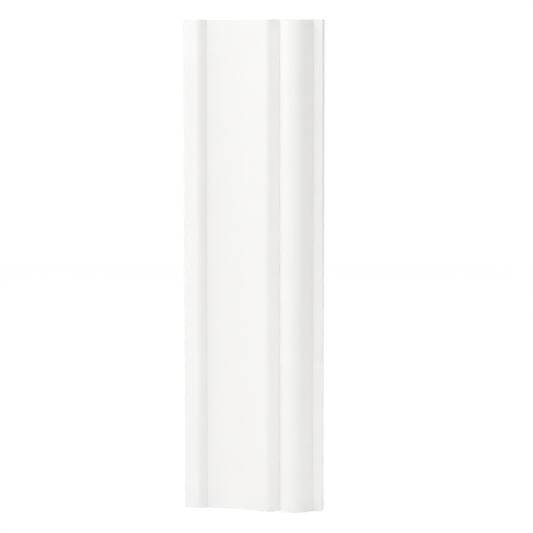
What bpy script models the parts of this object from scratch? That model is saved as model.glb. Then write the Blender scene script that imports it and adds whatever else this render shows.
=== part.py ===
"""Skirting board: a short length of moulded white polymer skirting, stood on its cut end.

From the thin edge at -X to the floor edge at +X the face carries a sloped bead, a wide hollow that
sweeps up to a round nose, a valley, a torus with a straight far flank, and a flat fillet. The back is flat.
Metres. +Z runs along the length, -Y points out of the wall, and the origin is the centre of the back.
In the outline a point is (across, proud): across from the thin edge, and proud of the back.
"""

import math

import bmesh
import bpy

# The board.
LENGTH = 0.385
WIDTH = 0.110
ARRIS_RADIUS = 0.0008

# The bead along the thin edge: a long slope up, a round ridge and a straight flank down to the hollow.
BEAD_RIDGE = 0.0116
BEAD_PROUD = 0.0128
BEAD_RIDGE_RADIUS = 0.0048
BEAD_OUTER_SLOPE = 20.5
BEAD_FOOT = 0.0184

# The hollow, the straight slope that it runs into, and the round nose on top of the slope.
HOLLOW_PROUD = 0.0092
HOLLOW_RADIUS = 0.110
HOLLOW_SWEEP = 20.0
NOSE_MIDDLE = 0.0675
NOSE_RADIUS = 0.0059

# The torus rises round from the valley beside the nose, and drops straight to the fillet.
VALLEY_PROUD = 0.0154
TORUS_MIDDLE = 0.0875
TORUS_RADIUS = 0.0130
TORUS_PROUD = 0.0211
TORUS_FOOT = 0.1028
FILLET_PROUD = 0.0115

# How far the middle of a chord may lie inside the round stretch that it stands for, and the widest
# angle between two faces that is shaded as one smooth surface.
CHORD_SAG = 0.00002
SMOOTH_ANGLE = 30

POLYMER_COLOUR = (0.86, 0.86, 0.85, 1.0)
POLYMER_ROUGHNESS = 0.42


def arc(middle, radius, start, end):
    """Points of a round stretch. Angles are in degrees from straight out of the wall, turning to +X."""
    widest_step = 2 * math.degrees(math.acos(1 - CHORD_SAG / radius))
    steps = math.ceil(abs(end - start) / widest_step)
    angles = [math.radians(start + (end - start) * i / steps) for i in range(steps + 1)]
    return [(middle[0] + radius * math.sin(a), middle[1] + radius * math.cos(a)) for a in angles]


def middle_of(point, radius, angle):
    """The middle of an arc that passes through the point at that angle."""
    turn = math.radians(angle)
    return point[0] - radius * math.sin(turn), point[1] - radius * math.cos(turn)


def along_slope(point, across, slope):
    """The point at that distance across, on the straight line that climbs from the point at the slope."""
    return across, point[1] + (across - point[0]) * math.tan(math.radians(slope))


def flank(middle, radius, foot):
    """The angle where an arc ends, for its straight flank to run on smoothly down to the foot."""
    across = foot[0] - middle[0]
    proud = foot[1] - middle[1]
    apart = math.hypot(across, proud)
    return math.degrees(math.atan2(across, proud) - math.acos(radius / apart))


def bead():
    """From the thin edge over the ridge to the top of the flank, with a round arris at the edge."""
    ridge = (BEAD_RIDGE, BEAD_PROUD - BEAD_RIDGE_RADIUS)
    end = flank(ridge, BEAD_RIDGE_RADIUS, (BEAD_FOOT, HOLLOW_PROUD))
    ridge_arc = arc(ridge, BEAD_RIDGE_RADIUS, -BEAD_OUTER_SLOPE, end)
    edge_across = ARRIS_RADIUS * (1 - math.sin(math.radians(BEAD_OUTER_SLOPE)))
    edge = along_slope(ridge_arc[0], edge_across, BEAD_OUTER_SLOPE)
    edge_arc = arc(middle_of(edge, ARRIS_RADIUS, -BEAD_OUTER_SLOPE), ARRIS_RADIUS, -90, -BEAD_OUTER_SLOPE)
    return edge_arc + ridge_arc


def hollow_and_nose(valley):
    """From the foot of the bead along the hollow and over the nose, to the top of its flank."""
    foot = (BEAD_FOOT, HOLLOW_PROUD)
    sweep = arc(middle_of(foot, HOLLOW_RADIUS, 180), HOLLOW_RADIUS, 180, 180 - HOLLOW_SWEEP)
    nose_start = NOSE_MIDDLE - NOSE_RADIUS * math.sin(math.radians(HOLLOW_SWEEP))
    top_of_slope = along_slope(sweep[-1], nose_start, HOLLOW_SWEEP)
    nose = middle_of(top_of_slope, NOSE_RADIUS, -HOLLOW_SWEEP)
    return sweep + arc(nose, NOSE_RADIUS, -HOLLOW_SWEEP, flank(nose, NOSE_RADIUS, valley))


def torus_and_fillet():
    """From the valley over the torus to the fillet and round the arris of the floor edge."""
    middle = (TORUS_MIDDLE, TORUS_PROUD - TORUS_RADIUS)
    foot = (TORUS_FOOT, FILLET_PROUD)
    start = math.degrees(math.acos((VALLEY_PROUD - middle[1]) / TORUS_RADIUS))
    torus = arc(middle, TORUS_RADIUS, -start, flank(middle, TORUS_RADIUS, foot))
    corner = (WIDTH - ARRIS_RADIUS, FILLET_PROUD - ARRIS_RADIUS)
    return torus + [foot] + arc(corner, ARRIS_RADIUS, 0, 90)


def outline():
    """The whole cross-section, from the back of the thin edge over the face to the back of the floor edge."""
    floor_side = torus_and_fillet()
    return [(0.0, 0.0)] + bead() + hollow_and_nose(floor_side[0]) + floor_side + [(WIDTH, 0.0)]


def polymer():
    material = bpy.data.materials.new("white_polymer")
    material.use_nodes = True
    shader = material.node_tree.nodes["Principled BSDF"]
    shader.inputs["Base Color"].default_value = POLYMER_COLOUR
    shader.inputs["Roughness"].default_value = POLYMER_ROUGHNESS
    shader.inputs["Metallic"].default_value = 0.0
    return material


def skirting_board():
    """The cross-section drawn on the lower cut end and extruded along the length."""
    shape = bmesh.new()
    end = [shape.verts.new((across - WIDTH / 2, -proud, -LENGTH / 2)) for across, proud in outline()]
    cut_end = shape.faces.new(end)
    grown = bmesh.ops.extrude_face_region(shape, geom=[cut_end])["geom"]
    raised = [part for part in grown if isinstance(part, bmesh.types.BMVert)]
    bmesh.ops.translate(shape, verts=raised, vec=(0, 0, LENGTH))
    bmesh.ops.recalc_face_normals(shape, faces=shape.faces)
    mesh = bpy.data.meshes.new("skirting_board")
    shape.to_mesh(mesh)
    shape.free()
    mesh.materials.append(polymer())
    mesh.shade_smooth()
    mesh.set_sharp_from_angle(angle=math.radians(SMOOTH_ANGLE))
    board = bpy.data.objects.new("skirting_board", mesh)
    bpy.context.scene.collection.objects.link(board)
    return board


def main():
    for old in list(bpy.data.objects):
        bpy.data.objects.remove(old)
    skirting_board()


main()
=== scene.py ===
"""Looks of the skirting board: its moulded skin, sawn ends and keyed back, on a white studio floor.

Metres, in the frame's axes: +Z along the length, -Y out of the wall, +X from the thin edge to the
floor edge. In a cross-section a point is (across, proud): across from the thin edge, and proud of
the back. Angles in a cross-section are in degrees from straight out of the wall, turning to +X.
"""

import math

import bmesh
import bpy
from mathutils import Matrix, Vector


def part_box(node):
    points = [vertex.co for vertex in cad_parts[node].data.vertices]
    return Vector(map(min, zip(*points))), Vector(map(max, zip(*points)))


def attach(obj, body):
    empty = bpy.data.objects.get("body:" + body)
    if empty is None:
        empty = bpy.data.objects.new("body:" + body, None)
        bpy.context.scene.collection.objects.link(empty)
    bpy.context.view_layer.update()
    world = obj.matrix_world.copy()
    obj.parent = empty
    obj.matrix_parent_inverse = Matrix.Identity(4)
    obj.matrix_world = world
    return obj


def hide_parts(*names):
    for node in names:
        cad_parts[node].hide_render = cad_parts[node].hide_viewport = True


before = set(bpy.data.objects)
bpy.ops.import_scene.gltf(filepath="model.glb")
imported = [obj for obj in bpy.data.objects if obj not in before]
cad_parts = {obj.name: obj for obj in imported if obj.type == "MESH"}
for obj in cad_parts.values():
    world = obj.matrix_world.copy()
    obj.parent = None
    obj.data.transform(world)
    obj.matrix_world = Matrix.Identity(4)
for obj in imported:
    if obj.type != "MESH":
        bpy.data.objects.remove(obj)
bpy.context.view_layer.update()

NODE = "skirting_board"
LOWEST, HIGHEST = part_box(NODE)
WIDTH = HIGHEST.x - LOWEST.x
LENGTH = HIGHEST.z - LOWEST.z

# The bead along the thin edge: a long slope up, a round ridge and a straight flank down to the hollow.
BEAD_RIDGE = 0.0116
BEAD_PROUD = 0.0128
BEAD_RIDGE_RADIUS = 0.0048
BEAD_OUTER_SLOPE = 20.5
BEAD_FOOT = 0.0184

# The hollow, the straight slope that it runs into, and the round nose on top of the slope.
HOLLOW_PROUD = 0.0092
HOLLOW_RADIUS = 0.110
HOLLOW_SWEEP = 20.0
NOSE_MIDDLE = 0.0675
NOSE_RADIUS = 0.0059

# The torus rises round from the valley beside the nose, and drops straight to the fillet.
VALLEY_PROUD = 0.0154
TORUS_MIDDLE = 0.0875
TORUS_RADIUS = 0.0130
TORUS_PROUD = 0.0211
TORUS_FOOT = 0.1028
FILLET_PROUD = 0.0115

# Outer arrises are round. The die leaves a fine score along each inner corner, at the flank's foot.
ARRIS_RADIUS = 0.0008
SCORE_WIDTH = 0.0006
SCORE_DEPTH = 0.0002
SCORE_LEAN = 0.00004

# The back: shallow lengthwise grooves that key the adhesive.
GROOVES = 9
GROOVE_WIDTH = 0.0034
GROOVE_DEPTH = 0.0004
GROOVE_STEPS = 12

# The sawn ends: a worn arris round each end, and a dense skin round the foamed core.
END_ARRIS = 0.00022
END_ARRIS_STEPS = 4
SKIN_THICKNESS = 0.0005

# How fine the mesh is: the widest turn and the longest chord in a round stretch, the steps along, the
# widest angle between two faces that is shaded as one smooth surface, and how many points a score spans.
WIDEST_TURN = 3.0
LONGEST_CHORD = 0.0012
LENGTH_STEPS = 28
SMOOTH_ANGLE = 26
SCORE_SPAN = 3

# How much fine detail the noise of the materials has.
SOFT_DETAIL = 2.0
STREAK_DETAIL = 3.0

# The moulded skin: its two whites, its roughness, and the grain and height of its faint unevenness.
SKIN_WHITE = (0.874, 0.869, 0.861, 1.0)
SKIN_SHADE = (0.852, 0.846, 0.836, 1.0)
SKIN_ROUGHNESS = 0.36
SKIN_ROUGHNESS_SPREAD = 0.12
MOTTLE_GRAIN = 0.035
STREAK_GRAIN = 0.0022
STREAK_STRETCH = 70.0
STREAK_HEIGHT = 0.000012
PEEL_GRAIN = 0.0013
PEEL_HEIGHT = 0.000004

# The sawn ends: the white of the foam, the painted shade in the pits of its open cells, the cells' size and
# the saw's marks.
FOAM_WHITE = (0.800, 0.790, 0.772, 1.0)
# Painted shade: the colour of the deepest middle of each open cell, where shade falls in the pit.
PIT_PAINTED_SHADE = (0.560, 0.548, 0.525, 1.0)
FOAM_ROUGHNESS = 0.78
CELL_SIZE = 0.0005
CELL_DEPTH = 0.00012
BLADE_MIDDLE = (0.030, 0.140, 0.0)
SAW_PITCH = 0.0016
SAW_DEPTH = 0.00003
SAW_WANDER = 2.5
SAW_WANDER_GRAIN = 0.008

# The keyed back: a little greyer and rougher, with drag marks along it.
BACK_WHITE = (0.850, 0.845, 0.836, 1.0)
BACK_SHADE = (0.790, 0.784, 0.772, 1.0)
BACK_ROUGHNESS = 0.52
BACK_ROUGHNESS_SPREAD = 0.16
DRAG_GRAIN = 0.0012
DRAG_STRETCH = 45.0
DRAG_HEIGHT = 0.00004

# The camera, as the photograph shows the board.
CAMERA_AZIMUTH = 8.74
CAMERA_ELEVATION = 5.63
CAMERA_DISTANCE = 1.846
CAMERA_AIM = Vector((0.0092, 0.0, -0.0007))
CAMERA_LENS = 158.5

# The studio: the floor and how white the camera sees it, the even light all round, and the panels of
# light as azimuth, elevation, distance, size and power.
WHITE = (1.0, 1.0, 1.0, 1.0)
FLOOR_RADIUS = 2.0
FLOOR_SEGMENTS = 128
FLOOR_ROUGHNESS = 0.9
FLOOR_WHITE = (0.9, 0.9, 0.9, 1.0)
FLOOR_GLOW = 0.1
SEEN_WHITE = 0.97
EVEN_LIGHT = 0.41
PANELS = {
    "above": (0, 85, 1.6, 1.2, 2.5),
    "left_front": (-35, 30, 2.0, 1.0, 1.0),
    "left_high": (-50, 60, 1.6, 1.0, 11.4),
    "left_side": (-65, 30, 2.0, 1.0, 4.1),
    "right_front": (30, 30, 2.0, 1.0, 8.0),
    "behind_right": (140, 30, 2.0, 1.0, 12.0),
    "behind_left": (-150, 30, 2.0, 1.0, 6.0),
}


def arc(middle, radius, start, end):
    """Points of a round stretch from one angle to another."""
    turn = abs(end - start)
    steps = math.ceil(max(turn / WIDEST_TURN, math.radians(turn) * radius / LONGEST_CHORD))
    angles = [math.radians(start + (end - start) * i / steps) for i in range(steps + 1)]
    return [(middle[0] + radius * math.sin(a), middle[1] + radius * math.cos(a)) for a in angles]


def straight(start, end):
    """Points between two others, no further apart than those of a round stretch."""
    steps = math.ceil(math.dist(start, end) / LONGEST_CHORD)
    return [tuple(Vector(start).lerp(Vector(end), i / steps)) for i in range(1, steps)]


def middle_of(point, radius, angle):
    """The middle of an arc that passes through the point at that angle."""
    turn = math.radians(angle)
    return point[0] - radius * math.sin(turn), point[1] - radius * math.cos(turn)


def along_slope(point, across, slope):
    """The point at that distance across, on the straight line that climbs from the point at the slope."""
    return across, point[1] + (across - point[0]) * math.tan(math.radians(slope))


def flank(middle, radius, foot):
    """The angle where an arc ends, for its straight flank to run on smoothly down to the foot."""
    across = foot[0] - middle[0]
    proud = foot[1] - middle[1]
    apart = math.hypot(across, proud)
    return math.degrees(math.atan2(across, proud) - math.acos(radius / apart))


def bead():
    """From the thin edge over the ridge to the top of the flank, with a round arris at the edge."""
    ridge = (BEAD_RIDGE, BEAD_PROUD - BEAD_RIDGE_RADIUS)
    end = flank(ridge, BEAD_RIDGE_RADIUS, (BEAD_FOOT, HOLLOW_PROUD))
    ridge_arc = arc(ridge, BEAD_RIDGE_RADIUS, -BEAD_OUTER_SLOPE, end)
    edge_across = ARRIS_RADIUS * (1 - math.sin(math.radians(BEAD_OUTER_SLOPE)))
    edge = along_slope(ridge_arc[0], edge_across, BEAD_OUTER_SLOPE)
    edge_arc = arc(middle_of(edge, ARRIS_RADIUS, -BEAD_OUTER_SLOPE), ARRIS_RADIUS, -90, -BEAD_OUTER_SLOPE)
    return edge_arc + straight(edge, ridge_arc[0]) + ridge_arc


def hollow_and_nose(valley):
    """From the foot of the bead along the hollow and over the nose, to the top of its flank."""
    foot = (BEAD_FOOT, HOLLOW_PROUD)
    sweep = arc(middle_of(foot, HOLLOW_RADIUS, 180), HOLLOW_RADIUS, 180, 180 - HOLLOW_SWEEP)
    nose_start = NOSE_MIDDLE - NOSE_RADIUS * math.sin(math.radians(HOLLOW_SWEEP))
    top_of_slope = along_slope(sweep[-1], nose_start, HOLLOW_SWEEP)
    nose = middle_of(top_of_slope, NOSE_RADIUS, -HOLLOW_SWEEP)
    end = flank(nose, NOSE_RADIUS, valley)
    return sweep + straight(sweep[-1], top_of_slope) + arc(nose, NOSE_RADIUS, -HOLLOW_SWEEP, end)


def torus():
    """From the valley over the torus to the top of its straight flank."""
    middle = (TORUS_MIDDLE, TORUS_PROUD - TORUS_RADIUS)
    start = math.degrees(math.acos((VALLEY_PROUD - middle[1]) / TORUS_RADIUS))
    return arc(middle, TORUS_RADIUS, -start, flank(middle, TORUS_RADIUS, (TORUS_FOOT, FILLET_PROUD)))


def fillet():
    """From the foot of the torus to the round arris of the floor edge."""
    foot = (TORUS_FOOT, FILLET_PROUD)
    arris = arc((WIDTH - ARRIS_RADIUS, FILLET_PROUD - ARRIS_RADIUS), ARRIS_RADIUS, 0, 90)
    return [foot] + straight(foot, arris[0]) + arris


def joined(stretches):
    """Stretches of the face joined by straight flanks, with the die's score at the foot of each flank."""
    face = list(stretches[0])
    for after in stretches[1:]:
        corner = Vector(after[0])
        lip = corner + (Vector(face[-1]) - corner).normalized() * SCORE_WIDTH
        face += straight(face[-1], tuple(lip))
        face += [tuple(lip), (corner.x - SCORE_LEAN, corner.y - SCORE_DEPTH)] + after
    return face


def groove(middle):
    """One shallow round groove of the back, from its floor-edge lip to its other lip."""
    shares = [i / GROOVE_STEPS for i in range(GROOVE_STEPS + 1)]
    return [
        (middle + GROOVE_WIDTH * (0.5 - share), GROOVE_DEPTH * (1 - math.cos(math.tau * share)) / 2)
        for share in shares
    ]


def back():
    """From the floor edge over the grooved back to the thin edge."""
    points = arc((WIDTH - ARRIS_RADIUS, ARRIS_RADIUS), ARRIS_RADIUS, 90, 180)
    for count in range(GROOVES, 0, -1):
        points += groove(WIDTH * count / (GROOVES + 1))
    return points + arc((ARRIS_RADIUS, ARRIS_RADIUS), ARRIS_RADIUS, 180, 270)


def outward(outline):
    """At each point of a closed outline, the direction out of the board, taken across the scores."""
    directions = []
    for i, _ in enumerate(outline):
        before = Vector(outline[i - SCORE_SPAN])
        after = Vector(outline[(i + SCORE_SPAN) % len(outline)])
        run = (after - before).normalized()
        directions.append(Vector((-run.y, run.x)))
    return directions


def stations():
    """(height, inset) of each ring of the mesh, from the core of the lower end to that of the upper."""
    angles = [math.pi / 2 * i / END_ARRIS_STEPS for i in range(END_ARRIS_STEPS + 1)]
    end = [(0.0, END_ARRIS + SKIN_THICKNESS)]
    end += [(END_ARRIS * (1 - math.cos(a)), END_ARRIS * (1 - math.sin(a))) for a in angles]
    run = LENGTH - 2 * END_ARRIS
    body = [(END_ARRIS + run * i / LENGTH_STEPS, 0.0) for i in range(1, LENGTH_STEPS)]
    top = [(LENGTH - depth, inset) for depth, inset in reversed(end)]
    return [(LOWEST.z + height, inset) for height, inset in end + body + top]


class Shade:
    """A number or colour that a material's nodes work out, written in sums like any other value."""

    def __init__(self, finish, socket):
        self.finish = finish
        self.socket = socket

    def maths(self, operation, first, second):
        return self.finish.node("ShaderNodeMath", {"operation": operation}, {0: first, 1: second})

    def __add__(self, other):
        return self.maths("ADD", self, other)

    def __radd__(self, other):
        return self.maths("ADD", other, self)

    def __mul__(self, other):
        return self.maths("MULTIPLY", self, other)

    def __rmul__(self, other):
        return self.maths("MULTIPLY", other, self)


class Finish:
    """A material that is worked out from where a point lies on the board."""

    def __init__(self, name, roughness):
        self.material = bpy.data.materials.new(name)
        self.material.use_nodes = True
        self.tree = self.material.node_tree
        self.shader = self.tree.nodes["Principled BSDF"]
        self.shader.inputs["Roughness"].default_value = roughness
        self.here = self.node("ShaderNodeTexCoord", output="Object")

    def node(self, kind, settings=None, inputs=None, output=0):
        """A node of that type, set up and fed, as the value of one of its outputs."""
        made = self.tree.nodes.new(kind)
        for name, value in (settings or {}).items():
            setattr(made, name, value)
        for name, value in (inputs or {}).items():
            self.feed(made.inputs[name], value)
        return Shade(self, made.outputs[output])

    def feed(self, socket, value):
        if isinstance(value, Shade):
            self.tree.links.new(value.socket, socket)
        else:
            socket.default_value = value

    def scaled(self, scale):
        """The place on the board, with each direction scaled by that much."""
        return self.node("ShaderNodeVectorMath", {"operation": "MULTIPLY"}, {0: self.here, 1: scale})

    def noise(self, place, grain, detail=SOFT_DETAIL):
        """Soft noise from 0 to 1, with spots about one grain wide, in metres."""
        return self.node("ShaderNodeTexNoise", None, {"Vector": place, "Scale": 1 / grain, "Detail": detail})

    def streaks(self, grain, stretch):
        """Noise drawn out along the length of the board."""
        return self.noise(self.scaled((1.0, 1.0, 1 / stretch)), grain, STREAK_DETAIL)

    def cells(self, size):
        """How far the place is from the middle of its foam cell: 0 at the middle, about 1 at the wall."""
        return self.node("ShaderNodeTexVoronoi", None, {"Vector": self.here, "Scale": 1 / size})

    def saw_marks(self):
        """Waves from -1 to 1 in rings round the middle of the saw's blade."""
        flat = self.scaled((1.0, 1.0, 0.0))
        inputs = {0: flat, 1: BLADE_MIDDLE}
        reach = self.node("ShaderNodeVectorMath", {"operation": "DISTANCE"}, inputs, output=1)
        wander = self.noise(flat, SAW_WANDER_GRAIN) * SAW_WANDER
        turn = reach * (math.tau / SAW_PITCH) + wander
        return self.node("ShaderNodeMath", {"operation": "SINE"}, {0: turn})

    def blend(self, share, first, second):
        """One colour turning into another as the share goes from 0 to 1."""
        return self.node("ShaderNodeMix", {"data_type": "RGBA"}, {0: share, 6: first, 7: second}, output=2)

    def paint(self, socket, value):
        self.feed(self.shader.inputs[socket], value)

    def cover(self, share, shader):
        """Another shader laid over the material's own, by that share."""
        own = Shade(self, self.shader.outputs["BSDF"])
        mixed = self.node("ShaderNodeMixShader", None, {0: share, 1: own, 2: shader}, output="Shader")
        self.feed(self.tree.nodes["Material Output"].inputs["Surface"], mixed)

    def relief(self, height):
        """Bumps of that height, in metres, on the surface."""
        self.paint("Normal", self.node("ShaderNodeBump", None, {"Height": height, "Distance": 1.0}))


def moulded_skin():
    """Satin white with a faint mottle, drawn lines from the die and a very fine orange peel."""
    finish = Finish("moulded_skin", SKIN_ROUGHNESS)
    streaks = finish.streaks(STREAK_GRAIN, STREAK_STRETCH)
    peel = finish.noise(finish.here, PEEL_GRAIN)
    finish.paint("Base Color", finish.blend(finish.noise(finish.here, MOTTLE_GRAIN), SKIN_WHITE, SKIN_SHADE))
    finish.paint("Roughness", streaks * SKIN_ROUGHNESS_SPREAD + SKIN_ROUGHNESS)
    finish.relief(streaks * STREAK_HEIGHT + peel * PEEL_HEIGHT)
    return finish.material


def sawn_skin():
    """The dense skin where the saw cut through it."""
    finish = Finish("sawn_skin", FOAM_ROUGHNESS)
    finish.paint("Base Color", finish.blend(finish.noise(finish.here, SAW_PITCH), SKIN_WHITE, SKIN_SHADE))
    finish.relief(finish.saw_marks() * SAW_DEPTH)
    return finish.material


def sawn_core():
    """Open cells of foam, with painted shade darkening the middle of each sunken pit, and the saw's curved
    marks across them.
    """
    finish = Finish("sawn_core", FOAM_ROUGHNESS)
    cells = finish.cells(CELL_SIZE)
    # The middle of each cell, where the bump sinks lowest, is painted darker as shade.
    finish.paint("Base Color", finish.blend(cells, PIT_PAINTED_SHADE, FOAM_WHITE))
    finish.relief(cells * CELL_DEPTH + finish.saw_marks() * SAW_DEPTH)
    return finish.material


def keyed_back():
    """The rougher back, dragged along its length."""
    finish = Finish("keyed_back", BACK_ROUGHNESS)
    drag = finish.streaks(DRAG_GRAIN, DRAG_STRETCH)
    finish.paint("Base Color", finish.blend(drag, BACK_WHITE, BACK_SHADE))
    finish.paint("Roughness", drag * BACK_ROUGHNESS_SPREAD + BACK_ROUGHNESS)
    finish.relief(drag * DRAG_HEIGHT)
    return finish.material


def skirting_board():
    """The board: its outline run along the length, with worn arrises and closed ends."""
    floor_side = torus()
    front = joined([bead(), hollow_and_nose(floor_side[0]), floor_side, fillet()])
    outline = front + back()
    directions = outward(outline)
    shape = bmesh.new()
    rings = []
    for height, inset in stations():
        points = [Vector(point) - out * inset for point, out in zip(outline, directions)]
        rings.append([shape.verts.new((p.x - WIDTH / 2, -p.y, height)) for p in points])
    skin, rim, core, rear = range(4)
    last = len(rings) - 2
    for level, (lower, upper) in enumerate(zip(rings, rings[1:])):
        for i in range(len(outline)):
            j = (i + 1) % len(outline)
            quad = shape.faces.new((lower[i], lower[j], upper[j], upper[i]))
            side = rear if len(front) <= i < len(outline) - 1 else skin
            quad.material_index = rim if level in (0, last) else side
    for ring in (rings[0], rings[-1]):
        shape.faces.new(ring).material_index = core
    bmesh.ops.triangulate(shape, faces=[face for face in shape.faces if len(face.verts) > 4])
    bmesh.ops.recalc_face_normals(shape, faces=shape.faces)
    mesh = bpy.data.meshes.new("moulded_board")
    shape.to_mesh(mesh)
    shape.free()
    for finish in (moulded_skin(), sawn_skin(), sawn_core(), keyed_back()):
        mesh.materials.append(finish)
    mesh.shade_smooth()
    mesh.set_sharp_from_angle(angle=math.radians(SMOOTH_ANGLE))
    board = bpy.data.objects.new("moulded_board", mesh)
    bpy.context.scene.collection.objects.link(board)
    weighted = board.modifiers.new("even_shading", "WEIGHTED_NORMAL")
    weighted.mode = "FACE_AREA"
    weighted.keep_sharp = True
    return board


def floor():
    """A round white floor under the lower sawn end, nearly as white to the camera as the room."""
    shape = bmesh.new()
    bmesh.ops.create_circle(shape, cap_ends=True, segments=FLOOR_SEGMENTS, radius=FLOOR_RADIUS)
    bmesh.ops.translate(shape, verts=shape.verts, vec=(0, 0, LOWEST.z))
    mesh = bpy.data.meshes.new("floor")
    shape.to_mesh(mesh)
    shape.free()
    finish = Finish("white_floor", FLOOR_ROUGHNESS)
    finish.paint("Base Color", FLOOR_WHITE)
    finish.paint("Emission Color", FLOOR_WHITE)
    finish.paint("Emission Strength", FLOOR_GLOW)
    ray = finish.node("ShaderNodeLightPath", output="Is Camera Ray")
    finish.cover(ray * SEEN_WHITE, finish.node("ShaderNodeEmission", None, {"Color": WHITE, "Strength": 1.0}))
    mesh.materials.append(finish.material)
    made = bpy.data.objects.new("floor", mesh)
    bpy.context.scene.collection.objects.link(made)
    return made


def from_board(azimuth, elevation, distance):
    """A place seen from the board's middle: azimuth from straight out of the wall, turning to +X."""
    turn = math.radians(azimuth)
    rise = math.radians(elevation)
    level = distance * math.cos(rise)
    return Vector((level * math.sin(turn), -level * math.cos(turn), distance * math.sin(rise)))


def soft_light(name, azimuth, elevation, distance, size, power):
    """A square panel of light that faces the board."""
    lamp = bpy.data.lights.new(name, "AREA")
    lamp.size = size
    lamp.energy = power
    panel = bpy.data.objects.new(name, lamp)
    panel.location = from_board(azimuth, elevation, distance)
    panel.rotation_euler = (-panel.location).to_track_quat("-Z", "Y").to_euler()
    panel.visible_camera = False
    bpy.context.scene.collection.objects.link(panel)
    return panel


def camera():
    lens = bpy.data.cameras.new("camera")
    lens.lens = CAMERA_LENS
    made = bpy.data.objects.new("camera", lens)
    made.location = CAMERA_AIM + from_board(CAMERA_AZIMUTH, CAMERA_ELEVATION, CAMERA_DISTANCE)
    made.rotation_euler = (CAMERA_AIM - made.location).to_track_quat("-Z", "Y").to_euler()
    bpy.context.scene.collection.objects.link(made)
    bpy.context.scene.camera = made


def white_room(strength):
    """White all round for the camera, and even light of that strength for the board."""
    world = bpy.data.worlds.new("white_room")
    world.use_nodes = True
    bpy.context.scene.world = world
    nodes = world.node_tree.nodes
    links = world.node_tree.links
    even = nodes["Background"]
    even.inputs["Color"].default_value = WHITE
    even.inputs["Strength"].default_value = strength
    seen = nodes.new("ShaderNodeBackground")
    seen.inputs["Color"].default_value = WHITE
    ray = nodes.new("ShaderNodeLightPath")
    mix = nodes.new("ShaderNodeMixShader")
    links.new(ray.outputs["Is Camera Ray"], mix.inputs["Fac"])
    links.new(even.outputs["Background"], mix.inputs[1])
    links.new(seen.outputs["Background"], mix.inputs[2])
    links.new(mix.outputs["Shader"], nodes["World Output"].inputs["Surface"])


board = skirting_board()
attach(board, "root")
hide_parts(NODE)
floor()
white_room(EVEN_LIGHT)
for name, panel in PANELS.items():
    soft_light(name, *panel)
camera()
bpy.context.scene.view_settings.view_transform = "Standard"
